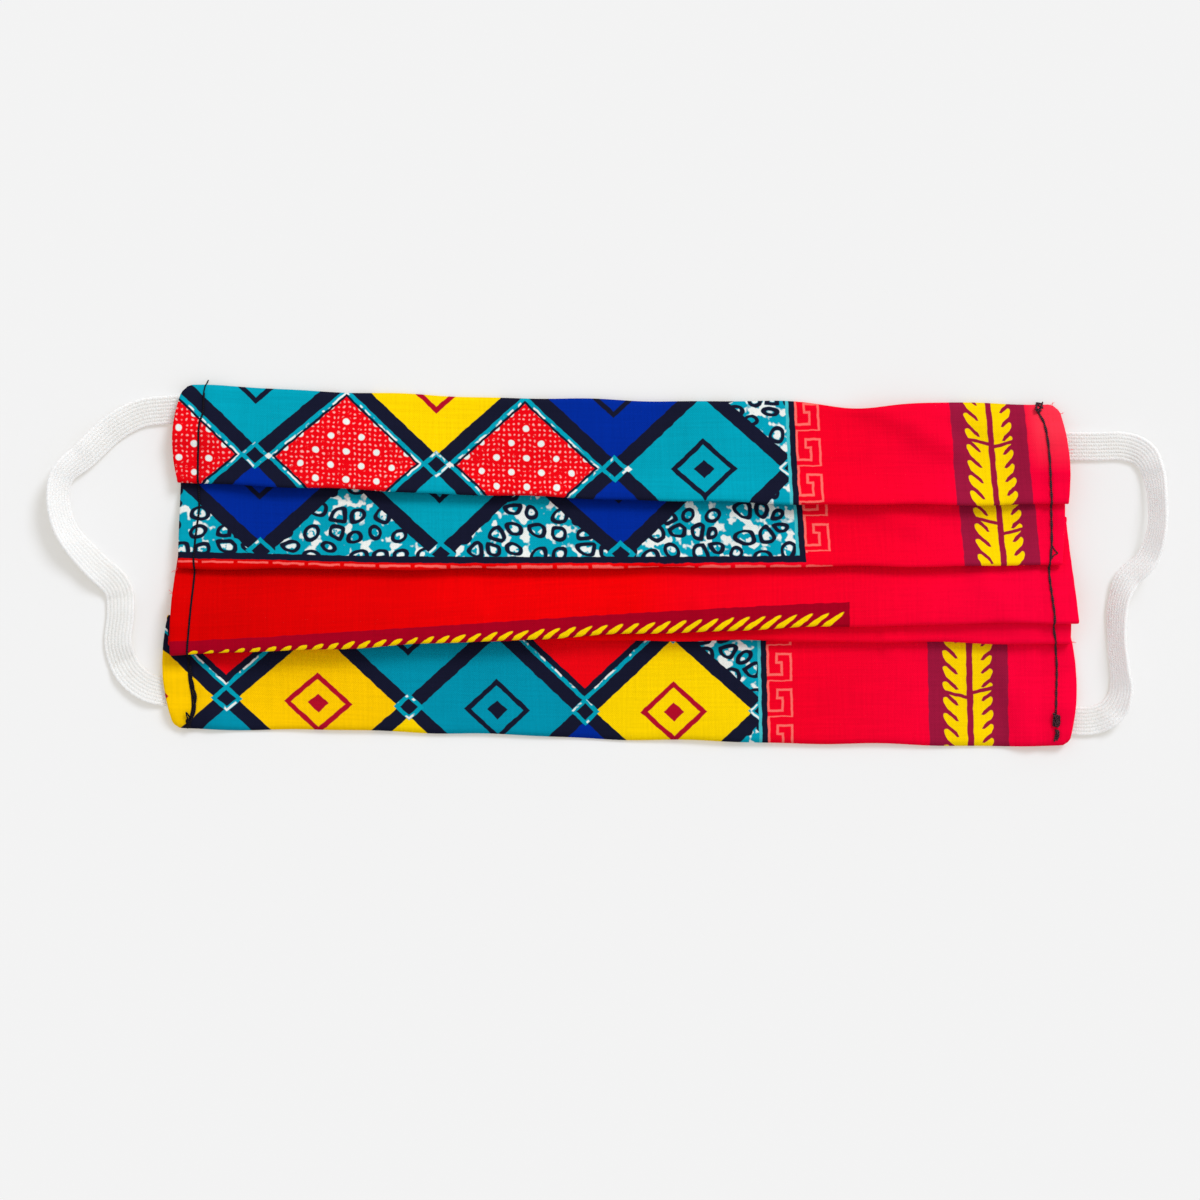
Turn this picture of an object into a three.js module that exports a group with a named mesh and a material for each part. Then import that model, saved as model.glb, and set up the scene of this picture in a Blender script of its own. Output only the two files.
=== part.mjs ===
// Cloth face mask: a knife-pleated cotton panel with a flat ribbed elastic ear loop sewn under each side.
// It lies flat on its back. Millimetres: +X runs along the panel, +Y from its bottom edge to its top edge,
// and +Z up from the table. The origin is on the table, under the middle of the whole mask.
import * as THREE from "three";

// Panel
const panelWidth = 199.6;
const panelHeight = 81.4;
const clothWall = 1.0;
const pleatGap = 0.3;
const pleatDepth = 10;
const settleRun = 16;
const topCorner = 3;
const bottomCorner = 2.2;
const dentDepth = 1.3;
const dentRun = 9;
const dentPlace = 0.775;

// Elastic
const strapWidth = 6.35;
const strapThickness = 0.9;
const ribCount = 8;
const grooveDepth = 0.22;
const grooveShare = 0.3;
const strapLift = 2;

// Seam: the straps run under the panel's sides, past the stitch line
const seamInset = 5;
const strapTuck = 3;
const strapGap = 0.3;
const strapSettleRun = 7;

// Mesh fineness
const middleColumns = 6;
const bandRows = 7;
const returnRows = 2;
const turnSteps = 3;
const stepsPerStrapRow = 3;

// The panel's edges and folds, from top to bottom. The first five columns give how far each line lies below the
// panel's top line, at five even stations across, in shares of panelHeight. outLeft and outRight are how far its
// ends stand out from the panel's nominal sides, in shares of panelWidth.
const edgeLines = {
  top: { left: 0.008, midLeft: 0.033, middle: 0.049, midRight: 0.054, right: 0.059, outLeft: -0.0095, outRight: -0.01 },
  bottom: { left: 0.948, midLeft: 0.955, middle: 0.976, midRight: 0.989, right: 0.996, outLeft: 0, outRight: 0.001 },
};

// A row for each knife pleat: its outer fold, and behind it the hidden inner fold, which lies higher by depthLeft
// at the left end and depthRight at the right end, in shares of pleatDepth.
const pleats = [
  {
    name: "first", left: 0.276, midLeft: 0.301, middle: 0.322, midRight: 0.336, right: 0.335,
    outLeft: -0.006, outRight: -0.002, depthLeft: 0.76, depthRight: 0.85, innerLeft: -0.01, innerRight: -0.006,
  },
  {
    name: "second", left: 0.51, midLeft: 0.512, middle: 0.509, midRight: 0.505, right: 0.502,
    outLeft: -0.007, outRight: -0.009, depthLeft: 0.58, depthRight: 1.08, innerLeft: -0.008, innerRight: -0.003,
  },
  {
    name: "third", left: 0.745, midLeft: 0.72, middle: 0.69, midRight: 0.668, right: 0.658,
    outLeft: 0.001, outRight: 0.009, depthLeft: 0.59, depthRight: 0.7, innerLeft: 0.002, innerRight: 0.002,
  },
  {
    name: "fourth", left: 0.721, midLeft: 0.708, middle: 0.706, midRight: 0.71, right: 0.716,
    outLeft: 0.004, outRight: 0.001, depthLeft: 0.68, depthRight: 0.42, innerLeft: 0.006, innerRight: 0,
  },
];

// How far each band between two pleats bows out at its two sides, in shares of panelWidth
const bandBows = [
  { left: 0.007, right: 0.005 },
  { left: 0, right: 0.002 },
  { left: 0.003, right: 0 },
  { left: 0, right: 0 },
  { left: 0.008, right: 0.008 },
];

// Ear loops. reach is how far the strap's middle line stands out from the panel's side. top and bottom are where
// its two ends cross that side, in shares of panelHeight below the top line. In the route's rows, out is a share
// of reach, down a share of the way between the two ends, bank the tilt that raises the outer edge, in degrees,
// and lift a share of strapLift.
const leftLoop = {
  name: "ear_loop_left",
  side: -1,
  reach: 25.3,
  top: 0.074,
  bottom: 0.85,
  route: [
    { out: 0.28, down: 0.014, bank: 0, lift: 0 },
    { out: 0.526, down: 0.067, bank: 8, lift: 0 },
    { out: 0.772, down: 0.162, bank: 22, lift: 0.2 },
    { out: 0.956, down: 0.229, bank: 40, lift: 0.4 },
    { out: 1, down: 0.31, bank: 45, lift: 0.3 },
    { out: 0.93, down: 0.426, bank: 40, lift: 0.1 },
    { out: 0.702, down: 0.539, bank: 22, lift: 0 },
    { out: 0.482, down: 0.63, bank: 4, lift: 0 },
    { out: 0.456, down: 0.718, bank: -8, lift: 0 },
    { out: 0.478, down: 0.831, bank: -10, lift: 0 },
    { out: 0.386, down: 0.926, bank: 6, lift: 0 },
    { out: 0.21, down: 0.982, bank: 8, lift: 0 },
  ],
};
const rightLoop = {
  name: "ear_loop_right",
  side: 1,
  reach: 19.4,
  top: 0.175,
  bottom: 0.925,
  route: [
    { out: 0.345, down: 0, bank: 0, lift: 0 },
    { out: 0.644, down: 0, bank: 4, lift: 0 },
    { out: 0.851, down: 0.028, bank: 24, lift: 0 },
    { out: 0.954, down: 0.091, bank: 45, lift: 0.2 },
    { out: 1, down: 0.197, bank: 56, lift: 0.6 },
    { out: 0.989, down: 0.306, bank: 56, lift: 1 },
    { out: 0.874, down: 0.415, bank: 46, lift: 0.8 },
    { out: 0.667, down: 0.481, bank: 36, lift: 0.4 },
    { out: 0.56, down: 0.565, bank: 50, lift: 0.1 },
    { out: 0.54, down: 0.707, bank: 57, lift: 0 },
    { out: 0.575, down: 0.816, bank: 55, lift: 0 },
    { out: 0.59, down: 0.9, bank: 40, lift: 0 },
    { out: 0.48, down: 0.97, bank: 20, lift: 0 },
    { out: 0.27, down: 1, bank: 3, lift: 0 },
  ],
};

// Worked-out sizes
const pitch = clothWall + pleatGap;
const turnRadius = pitch / 2;
const turnReach = turnRadius + clothWall / 2;
const tuckEnd = seamInset + strapTuck;
const panelMiddleX = (leftLoop.reach - rightLoop.reach) / 2;
const loops = [leftLoop, rightLoop];

// Small helpers
const mix = (from, to, share) => from + (to - from) * share;
const clamp01 = (value) => Math.min(1, Math.max(0, value));
const ease = (value) => THREE.MathUtils.smoothstep(value, 0, 1);
const rowHeight = (share) => panelHeight * (0.5 - share);

// The smooth curve through a line's five stations, at a share of the way across
function lineDrop(line, across) {
  const stations = [line.left, line.midLeft, line.middle, line.midRight, line.right];
  const place = across * (stations.length - 1);
  const first = Math.min(Math.floor(place), stations.length - 2);
  const before = stations[Math.max(first - 1, 0)];
  const after = stations[Math.min(first + 2, stations.length - 1)];
  const from = stations[first];
  const to = stations[first + 1];
  const t = place - first;
  const bend = (2 * before - 5 * from + 4 * to - after) * t * t + (3 * from - before - 3 * to + after) * t ** 3;
  return from + ((to - before) * t + bend) / 2;
}

// How far a rounded corner pulls an edge in, at a distance from the panel's side
function cornerPull(radius, distance) {
  const reach = Math.max(radius - distance, 0);
  return radius - Math.sqrt(radius * radius - reach * reach);
}

// The cloth's cross lines in the order that the cloth runs: top edge, outer and inner fold of each pleat, and
// bottom edge. Each gives its height y at a share across and the outer ends of its run.
function clothLines() {
  const sideDistance = (across) => panelWidth * Math.min(across, 1 - across);
  const dent = (across) => {
    const away = (across - dentPlace) * panelWidth / dentRun;
    return dentDepth * Math.exp(-away * away);
  };
  const topEdge = {
    y: (across) => rowHeight(lineDrop(edgeLines.top, across)) - dent(across)
      - cornerPull(topCorner, sideDistance(across)),
    outLeft: edgeLines.top.outLeft,
    outRight: edgeLines.top.outRight,
  };
  const bottomEdge = {
    y: (across) => rowHeight(lineDrop(edgeLines.bottom, across)) + cornerPull(bottomCorner, sideDistance(across)),
    outLeft: edgeLines.bottom.outLeft,
    outRight: edgeLines.bottom.outRight,
  };
  const foldLines = pleats.flatMap((pleat) => {
    const outer = (across) => rowHeight(lineDrop(pleat, across));
    const inner = (across) => outer(across) + pleatDepth * mix(pleat.depthLeft, pleat.depthRight, across);
    return [
      { y: outer, outLeft: pleat.outLeft, outRight: pleat.outRight },
      { y: inner, outLeft: pleat.innerLeft, outRight: pleat.innerRight },
    ];
  });
  return [topEdge, ...foldLines, bottomEdge];
}

// A leg is the cloth between two cross lines. Even legs are the bands that show, and odd legs the hidden returns.
function clothLegs(lines) {
  return lines.slice(1).map((end, index) => ({
    start: lines[index],
    end,
    isBand: index % 2 === 0,
    bow: index % 2 === 0 ? bandBows[index / 2] : { left: 0, right: 0 },
  }));
}

// The x of a point on a leg, at a share across and a share along the leg
function legX(leg, across, along) {
  const bulge = 4 * along * (1 - along);
  const left = -panelWidth * (0.5 + mix(leg.start.outLeft, leg.end.outLeft, along) + leg.bow.left * bulge);
  const right = panelWidth * (0.5 + mix(leg.start.outRight, leg.end.outRight, along) + leg.bow.right * bulge);
  return panelMiddleX + mix(left, right, across);
}

// How far the cloth at a point is raised by a layer that spans low to high in y: fully over it, and settling
// down smoothly past its edges
function cover(y, low, high, run) {
  const past = Math.max(low - y, y - high, 0);
  return ease(1 - clamp01(past / run));
}

// The raise of everything that lies over the four tucked strap ends
function strapRaise(x, y) {
  let raise = 0;
  for (const loop of loops) {
    const sideX = panelMiddleX + loop.side * panelWidth / 2;
    const inward = Math.max((sideX - x) * loop.side, 0);
    const overEnd = cover(inward, 0, tuckEnd, strapSettleRun);
    for (const end of [loop.top, loop.bottom]) {
      const low = rowHeight(end) - strapWidth / 2;
      raise += overEnd * cover(y, low - strapGap, low + strapWidth + strapGap, strapSettleRun);
    }
  }
  return raise * (strapThickness + strapGap);
}

// The height of a leg's middle surface: every leg further along the cloth lies under it
function legHeight(legs, index, across, x, y) {
  let layers = 0;
  for (const leg of legs.slice(index + 1)) {
    const a = leg.start.y(across);
    const b = leg.end.y(across);
    layers += cover(y, Math.min(a, b), Math.max(a, b), settleRun);
  }
  return clothWall / 2 + strapRaise(x, y) + layers * pitch;
}

// The shares across at which the panel is sectioned: close together over the strap ends, and wide in the middle
function columnShares() {
  const sides = [
    0,
    topCorner * 0.3,
    topCorner,
    (topCorner + tuckEnd) / 2,
    tuckEnd + strapGap,
    tuckEnd + strapSettleRun / 2,
    tuckEnd + strapSettleRun,
  ].map((distance) => distance / panelWidth);
  const inner = sides[sides.length - 1];
  const middle = [];
  for (let step = 1; step < middleColumns; step += 1) {
    middle.push(mix(inner, 1 - inner, step / middleColumns));
  }
  return [...sides, ...middle, ...sides.map((share) => 1 - share).reverse()];
}

// The points of one section of the cloth, from the top edge through every fold to the bottom edge
function clothSection(legs, across) {
  const points = [];
  legs.forEach((leg, index) => {
    const direction = leg.isBand ? -1 : 1;
    const startsAtFold = index > 0;
    const endsAtFold = index < legs.length - 1;
    const startY = leg.start.y(across) + (startsAtFold ? direction * turnReach : 0);
    const endY = leg.end.y(across) - (endsAtFold ? direction * turnReach : 0);
    const rows = leg.isBand ? bandRows : returnRows;
    for (let row = 0; row <= rows; row += 1) {
      const along = row / rows;
      const y = mix(startY, endY, along);
      const x = legX(leg, across, along);
      points.push(new THREE.Vector3(x, y, legHeight(legs, index, across, x, y)));
    }
    if (endsAtFold) {
      points.push(...foldTurn(legs, index, across, endY, direction));
    }
  });
  return points;
}

// The inner points of the half turn at a leg's end, which lean with the cloth's slope there
function foldTurn(legs, index, across, endY, direction) {
  const x = legX(legs[index], across, 1);
  const upper = legHeight(legs, index, across, x, endY);
  const lower = legHeight(legs, index + 1, across, x, endY);
  const slope = (legHeight(legs, index, across, x, endY - direction * turnReach) - upper) / -turnReach;
  const points = [];
  for (let step = 1; step < turnSteps; step += 1) {
    const angle = Math.PI * step / turnSteps;
    const outward = turnRadius * Math.sin(angle);
    const y = endY + direction * outward;
    const z = (upper + lower) / 2 + turnRadius * Math.cos(angle) + slope * outward;
    points.push(new THREE.Vector3(x, y, z));
  }
  return points;
}

// The unit normals of a grid of points, pointing out of the cloth's front face
function gridNormals(grid) {
  const last = (list) => list.length - 1;
  return grid.map((column, i) => column.map((point, j) => {
    const across = grid[Math.min(i + 1, last(grid))][j].clone().sub(grid[Math.max(i - 1, 0)][j]);
    const along = column[Math.min(j + 1, last(column))].clone().sub(column[Math.max(j - 1, 0)]);
    return along.cross(across).normalize();
  }));
}

// A closed wall of even thickness around a grid of points: a front face, a back face and the rim between them
function wallGeometry(grid, wall) {
  const normals = gridNormals(grid);
  const columns = grid.length;
  const rows = grid[0].length;
  const positions = [];
  for (const offset of [wall / 2, -wall / 2]) {
    grid.forEach((column, i) => column.forEach((point, j) => {
      positions.push(...point.clone().addScaledVector(normals[i][j], offset).toArray());
    }));
  }
  const front = (i, j) => i * rows + j;
  const back = (i, j) => columns * rows + i * rows + j;
  const indices = [];
  const quad = (a, b, c, d) => indices.push(a, b, c, a, c, d);
  for (let i = 0; i + 1 < columns; i += 1) {
    for (let j = 0; j + 1 < rows; j += 1) {
      quad(front(i, j), front(i, j + 1), front(i + 1, j + 1), front(i + 1, j));
      quad(back(i, j), back(i + 1, j), back(i + 1, j + 1), back(i, j + 1));
    }
    quad(front(i, 0), front(i + 1, 0), back(i + 1, 0), back(i, 0));
    quad(front(i + 1, rows - 1), front(i, rows - 1), back(i, rows - 1), back(i + 1, rows - 1));
  }
  for (let j = 0; j + 1 < rows; j += 1) {
    quad(front(0, j + 1), front(0, j), back(0, j), back(0, j + 1));
    quad(front(columns - 1, j), front(columns - 1, j + 1), back(columns - 1, j + 1), back(columns - 1, j));
  }
  return meshGeometry(positions, indices);
}

function meshGeometry(positions, indices) {
  const geometry = new THREE.BufferGeometry();
  geometry.setAttribute("position", new THREE.Float32BufferAttribute(positions, 3));
  geometry.setIndex(indices);
  geometry.computeVertexNormals();
  return geometry;
}

// The pleated cloth panel
function pleatedPanel() {
  const legs = clothLegs(clothLines());
  const grid = columnShares().map((across) => clothSection(legs, across));
  return wallGeometry(grid, clothWall);
}

// The elastic's outline across: ribs along its top face, with grooves between them
function strapOutline() {
  const half = strapThickness / 2;
  const rib = strapWidth / ribCount;
  const groove = rib * grooveShare / 2;
  const outline = [new THREE.Vector2(-strapWidth / 2, -half), new THREE.Vector2(strapWidth / 2, -half)];
  for (let index = ribCount; index > 0; index -= 1) {
    const middle = (index - 0.5) * rib - strapWidth / 2;
    outline.push(new THREE.Vector2(middle + rib / 2, half - grooveDepth));
    outline.push(new THREE.Vector2(middle + rib / 2 - groove, half));
    outline.push(new THREE.Vector2(middle - rib / 2 + groove, half));
  }
  outline.push(new THREE.Vector2(-strapWidth / 2, half - grooveDepth));
  return outline;
}

// The stations of a strap: its middle line and its bank, with a flat tuck under the panel at each end
function strapStations(loop) {
  const sideX = panelMiddleX + loop.side * panelWidth / 2;
  const topY = rowHeight(loop.top);
  const bottomY = rowHeight(loop.bottom);
  const rows = [{ out: 0, down: 0, bank: 0, lift: 0 }, ...loop.route, { out: 0, down: 1, bank: 0, lift: 0 }];
  const places = rows.map((row) => new THREE.Vector3(
    sideX + loop.side * loop.reach * row.out,
    mix(topY, bottomY, row.down),
    0,
  ));
  const curve = new THREE.CatmullRomCurve3(places, false, "centripetal");
  const count = stepsPerStrapRow * (rows.length - 1);
  const stations = [];
  for (let step = 0; step <= count; step += 1) {
    const t = step / count;
    const first = Math.min(Math.floor(step / stepsPerStrapRow), rows.length - 2);
    const share = ease(step / stepsPerStrapRow - first);
    const bank = THREE.MathUtils.degToRad(mix(rows[first].bank, rows[first + 1].bank, share));
    const lift = strapLift * mix(rows[first].lift, rows[first + 1].lift, share);
    stations.push({ place: curve.getPoint(t), heading: curve.getTangent(t), bank, lift });
  }
  const tuck = (y, headingX) => ({
    place: new THREE.Vector3(sideX - loop.side * tuckEnd, y, 0),
    heading: new THREE.Vector3(headingX, 0, 0),
    bank: 0,
    lift: 0,
  });
  return [tuck(topY, loop.side), ...stations, tuck(bottomY, -loop.side)];
}

// A strap swept along its stations, standing on the table by its lower edge
function strapGeometry(loop) {
  const outline = strapOutline();
  const stations = strapStations(loop);
  const positions = [];
  for (const { place, heading, bank, lift } of stations) {
    const flatSide = new THREE.Vector3(-heading.y, heading.x, 0).normalize();
    const tilt = bank * loop.side;
    const side = flatSide.multiplyScalar(Math.cos(tilt)).add(new THREE.Vector3(0, 0, Math.sin(tilt)));
    const up = new THREE.Vector3().crossVectors(heading, side).normalize();
    const stand = (Math.abs(Math.sin(tilt)) * strapWidth + Math.cos(tilt) * strapThickness) / 2 + lift;
    for (const corner of outline) {
      const point = place.clone().addScaledVector(side, corner.x).addScaledVector(up, corner.y);
      positions.push(point.x, point.y, point.z + stand);
    }
  }
  const size = outline.length;
  const indices = [];
  for (let station = 0; station + 1 < stations.length; station += 1) {
    for (let corner = 0; corner < size; corner += 1) {
      const a = station * size + corner;
      const b = station * size + (corner + 1) % size;
      indices.push(a, b, b + size, a, b + size, a + size);
    }
  }
  const lastRing = (stations.length - 1) * size;
  for (const [a, b, c] of THREE.ShapeUtils.triangulateShape(outline, [])) {
    indices.push(a, c, b);
    indices.push(lastRing + a, lastRing + b, lastRing + c);
  }
  return meshGeometry(positions, indices);
}

// Materials
const cloth = new THREE.MeshStandardMaterial({ color: 0xd8102a, roughness: 0.9, metalness: 0, side: THREE.DoubleSide });
const elastic = new THREE.MeshStandardMaterial({ color: 0xf2f0ee, roughness: 0.8, metalness: 0 });

// Assembly
const mask = new THREE.Group();
const panel = new THREE.Mesh(pleatedPanel(), cloth);
panel.name = "pleated_panel";
mask.add(panel);
for (const loop of loops) {
  const strap = new THREE.Mesh(strapGeometry(loop), elastic);
  strap.name = loop.name;
  mask.add(strap);
}

export default mask;
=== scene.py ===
"""A pleated cotton face mask with elastic ear loops, lying on a white table."""
import random
from math import cos, exp, hypot, pi, radians, sin, sqrt

import bpy
import numpy as np
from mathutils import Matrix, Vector
from mathutils.bvhtree import BVHTree

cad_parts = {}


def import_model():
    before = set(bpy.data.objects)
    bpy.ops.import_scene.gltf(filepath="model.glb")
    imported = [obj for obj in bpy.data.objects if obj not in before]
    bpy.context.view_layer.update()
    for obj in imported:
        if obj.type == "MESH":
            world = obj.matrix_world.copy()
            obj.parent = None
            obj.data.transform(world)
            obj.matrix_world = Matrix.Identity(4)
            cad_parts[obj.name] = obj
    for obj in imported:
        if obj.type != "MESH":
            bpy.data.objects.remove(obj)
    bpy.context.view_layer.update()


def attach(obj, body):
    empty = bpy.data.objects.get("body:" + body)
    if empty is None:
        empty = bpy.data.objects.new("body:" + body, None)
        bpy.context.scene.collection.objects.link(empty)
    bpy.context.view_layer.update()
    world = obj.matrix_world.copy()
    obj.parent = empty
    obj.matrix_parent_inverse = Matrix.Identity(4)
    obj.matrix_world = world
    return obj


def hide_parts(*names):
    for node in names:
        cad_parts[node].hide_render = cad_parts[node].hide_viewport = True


MM = 0.001

# Panel, in millimetres, as in the frame
PANEL_WIDTH = 199.6
PANEL_HEIGHT = 81.4
PANEL_MIDDLE_X = 2.95
CLOTH_WALL = 0.75
CLOTH_PITCH = 1.08
PITCH_SWAY = 0.1
TURN_REACH = 0.8
TURN_THIN = 0.7
LIP_LIFTS = (1.2, 1.1, 0.1, 0.15)
LIP_SWAY = 0.18
LIP_RUN = 5
LIP_INSET = 4
LIP_FADE = 22
PLEAT_DEPTH = 10
SETTLE_RUN = 16
TOP_CORNER = 3
BOTTOM_CORNER = 2.2
CORNER_EASE = 0.15
DENT_DEPTH = 1.3
DENT_RUN = 9
DENT_PLACE = 0.775
RIM_RADIUS = 0.5
RIM_THINNEST = 0.12

# Waves of the whole cloth: height, run across, run down and phase. Puckers and a valley lie along the seams.
WAVES = ((0.22, 13.1, 29, 0), (0.16, 6.7, -11.3, 1.1), (0.13, 33, 5.9, 0))
WAVE_BASE = 0.5
WAVE_FADE = 25
PUCKER_RISE = 0.17
PUCKER_RUN = 5
VALLEY_RISE = 0.32
VALLEY_WIDTH = 1.3
VALLEY_FADE = 12

# Elastic
STRAP_WIDTH = 6.35
STRAP_THICKNESS = 0.9
RIB_COUNT = 8
GROOVE_DEPTH = 0.2
EDGE_THIN = 0.35
KNIT_PITCH = 1.15
KNIT_THINNEST = 0.92
KNIT_RISE = 0.05
KNIT_SPREAD = 0.012
LOOP_PITCH = 0.55
STRAP_LIFT = 2
SEAM_INSET = 5
STRAP_TUCK = 3
STRAP_GAP = 0.3
STRAP_SETTLE_RUN = 7
STRAP_CLEARANCE = 0.05
TUCK_END = SEAM_INSET + STRAP_TUCK

# Mesh fineness
COLUMN_STEP = 1.1
EDGE_COLUMNS = (0, 0.05, 0.18, 0.5)
BAND_ROWS = 20
RETURN_ROWS = 7
TURN_STEPS = 8
RIB_STEPS = 6
STRAP_STEP = 0.3
STRAP_SMOOTHING = 12

# The cloth's cross lines: the height at five stations across, in shares of the panel's height, and how far
# the left and right end stand out, in shares of its width
LINES = {
    "top": ((0.008, 0.033, 0.049, 0.054, 0.059), -0.0095, -0.01),
    "first": ((0.276, 0.301, 0.322, 0.336, 0.335), -0.006, -0.002),
    "second": ((0.51, 0.512, 0.509, 0.505, 0.502), -0.007, -0.009),
    "third": ((0.745, 0.72, 0.69, 0.668, 0.658), 0.001, 0.009),
    "fourth": ((0.721, 0.708, 0.706, 0.71, 0.716), 0.004, 0.001),
    "bottom": ((0.948, 0.955, 0.976, 0.989, 0.996), 0, 0.001),
}

# How deep each pleat's hidden fold lies at its left and right end, in shares of the pleat depth, and that
# fold's own stand-out
PLEAT_BACKS = {
    "first": (0.76, 0.85, -0.01, -0.006),
    "second": (0.58, 1.08, -0.008, -0.003),
    "third": (0.59, 0.7, 0.002, 0.002),
    "fourth": (0.68, 0.42, 0.006, 0),
}

# How far the middle of each band's left and right side bows out, in shares of the panel's width
BAND_BOWS = ((0.007, 0.005), (0, 0.002), (0.003, 0), (0, 0), (0.008, 0.008))

# Ear loops: side, reach, top and bottom end, and the route's rows of out, down, bank in degrees and lift
LOOPS = {
    "ear_loop_left": (-1, 25.3, 0.074, 0.85, (
        (0.28, 0.014, 0, 0), (0.526, 0.067, 8, 0), (0.772, 0.162, 22, 0.2), (0.956, 0.229, 40, 0.4),
        (1, 0.31, 45, 0.3), (0.93, 0.426, 40, 0.1), (0.702, 0.539, 22, 0), (0.482, 0.63, 4, 0),
        (0.456, 0.718, -8, 0), (0.478, 0.831, -10, 0), (0.386, 0.926, 6, 0), (0.21, 0.982, 8, 0),
    )),
    "ear_loop_right": (1, 19.4, 0.175, 0.925, (
        (0.345, 0, 0, 0), (0.644, 0, 4, 0), (0.851, 0.028, 24, 0), (0.954, 0.091, 45, 0.2),
        (1, 0.197, 56, 0.6), (0.989, 0.306, 56, 1), (0.874, 0.415, 46, 0.8), (0.667, 0.481, 36, 0.4),
        (0.56, 0.565, 50, 0.1), (0.54, 0.707, 57, 0), (0.575, 0.816, 55, 0), (0.59, 0.9, 40, 0),
        (0.48, 0.97, 20, 0), (0.27, 1, 3, 0),
    )),
}

# Where the print lies on each band that shows: the height of one of its rows at the five stations, in shares
# of the panel's height; the x of its first column, as seen from each station; how far it leans to the right
# for each millimetre down, at the left and right end; and that row's place down the print
BAND_PRINTS = (
    ((0.191, 0.222, 0.2395, 0.2345, 0.23), (-78.4, -78, -78.4, -78.9, -79.3), (0, 0.085), 0),
    ((0.458, 0.4715, 0.4725, 0.4695, 0.4645), (-77, -76.9, -77, -77, -77.2), (0.03, 0.085), 36.5),
    (LINES["third"][0], (-80.5,) * 5, (0, 0), 84),
    (LINES["fourth"][0], (-80.5,) * 5, (0, 0), 90),
    ((0.858, 0.886, 0.902, 0.894, 0.89), (-85.1, -84.2, -85.1, -85.1, -83.2), (0.02, 0.02), 109.5),
)

# The print, in millimetres on the flat cloth: u runs across from the first column, v down from the first row
SECOND_BAND_TOP = 20
SECOND_BAND_END = 45
LAST_BAND_TOP = 92
LATTICE_ACROSS = 40
LATTICE_DOWN = 36.5
LATTICE_LEG = LATTICE_ACROSS * LATTICE_DOWN / hypot(LATTICE_ACROSS, LATTICE_DOWN)
BAR_HALF = 1.55
KNOT_HALF = 1.38
OUTLINE = 2.5
MOTIF_RING = (8.4, 9.5)
MOTIF_MIDDLE = 11.9
BIG_DOT_ACROSS = 6.7
BIG_DOT_DOWN = 6.5
BIG_DOT = 0.72
DOTS_LEFT = 20
DOTS_RAISED = 2.07
SMALL_DOT_PITCH = 1.15
SMALL_DOT = 0.23
PEBBLE_ACROSS = 0.2
PEBBLE_DOWN = 0.23
LATTICE_RIGHT = 119.2
LATTICE_END = 37.3
FRAME_LEFT = 119.6
FRAME_RIGHT = 120.9
FRAME_TOP = 37.05
FRAME_END = 38.5
KEY_LEFT = 121.15
KEY_WIDTH = 5.1
KEY_PITCH = 7.95
KEY_START = -0.3
KEY_END = 36.4
KEY_SHIFT = 4.55
KEY_LINE = 0.5
KEY_PATH = (
    (0, 0), (0, 0.82), (0.6, 0.82), (0.6, 0.47), (0.38, 0.47), (0.38, 0.24), (1, 0.24), (1, 1), (0, 1),
)
DASH_START = 2.2
DASH_PITCH = 7.87
DASH_ROW = (38.95, 39.35)
DASH_END = 126.7
MAROON_LEFT = 156
MAROON_RIGHT = 173
LEAF_MIDDLE = 164.8
LEAF_STEM = 1.35
LEAF_SOLID = 2.5
FOLD_PLACE = 84
FOLD_STRIPE_RIGHT = 134.2
FOLD_STRIPE_RISE = 0.0165
STROKE_PITCH = 3.42
STROKE_SLANT = 1.45
THREAD_PITCH = 0.46

# The leafy stem's lobes: reach, pitch, slope and start, and the breaks along each side
LEFT_LOBES = (5.7, 3.5, 0.95, -4.3, (-4.8, 30.2, 107.2))
RIGHT_LOBES = (4.9, 3.07, 0.78, -3.8, (-4.2, 32.6, 106.2))


def srgb(red, green, blue):
    """A colour given as screen values from 0 to 255, with an alpha of one."""
    def linear(value):
        value /= 255
        return value / 12.92 if value <= 0.04045 else ((value + 0.055) / 1.055) ** 2.4
    return (linear(red), linear(green), linear(blue), 1)


TEAL = srgb(0, 160, 184)
PALE_TEAL = srgb(70, 190, 200)
NAVY = srgb(22, 24, 45)
# A darker teal, for cells in the last three rows of the lattice.
DEEP_TEAL = srgb(0, 146, 174)
BLUE = srgb(0, 42, 152)
YELLOW = srgb(255, 214, 0)
ORANGE_YELLOW = srgb(255, 202, 0)
WHITE = srgb(236, 240, 236)
PALE_PINK = srgb(255, 176, 172)
RED = srgb(240, 4, 18)
RED_LEFT = srgb(216, 0, 0)
RED_MIDDLE = srgb(243, 0, 4)
RED_RIGHT = srgb(253, 0, 56)
MAROON = srgb(156, 22, 60)
FOLD_RED = srgb(166, 0, 30)
MOTIF_RED = srgb(178, 12, 40)
KEY_PINK = srgb(255, 112, 104)
PAINTED_SHEEN_RED = srgb(255, 66, 84)
THREAD_BLACK = srgb(14, 12, 22)
THREAD_GREY = srgb(46, 40, 48)
THREAD_BROWN = srgb(40, 18, 28)
THREAD_ROSE = srgb(112, 76, 84)
ELASTIC_WHITE = srgb(252, 251, 250)

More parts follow.
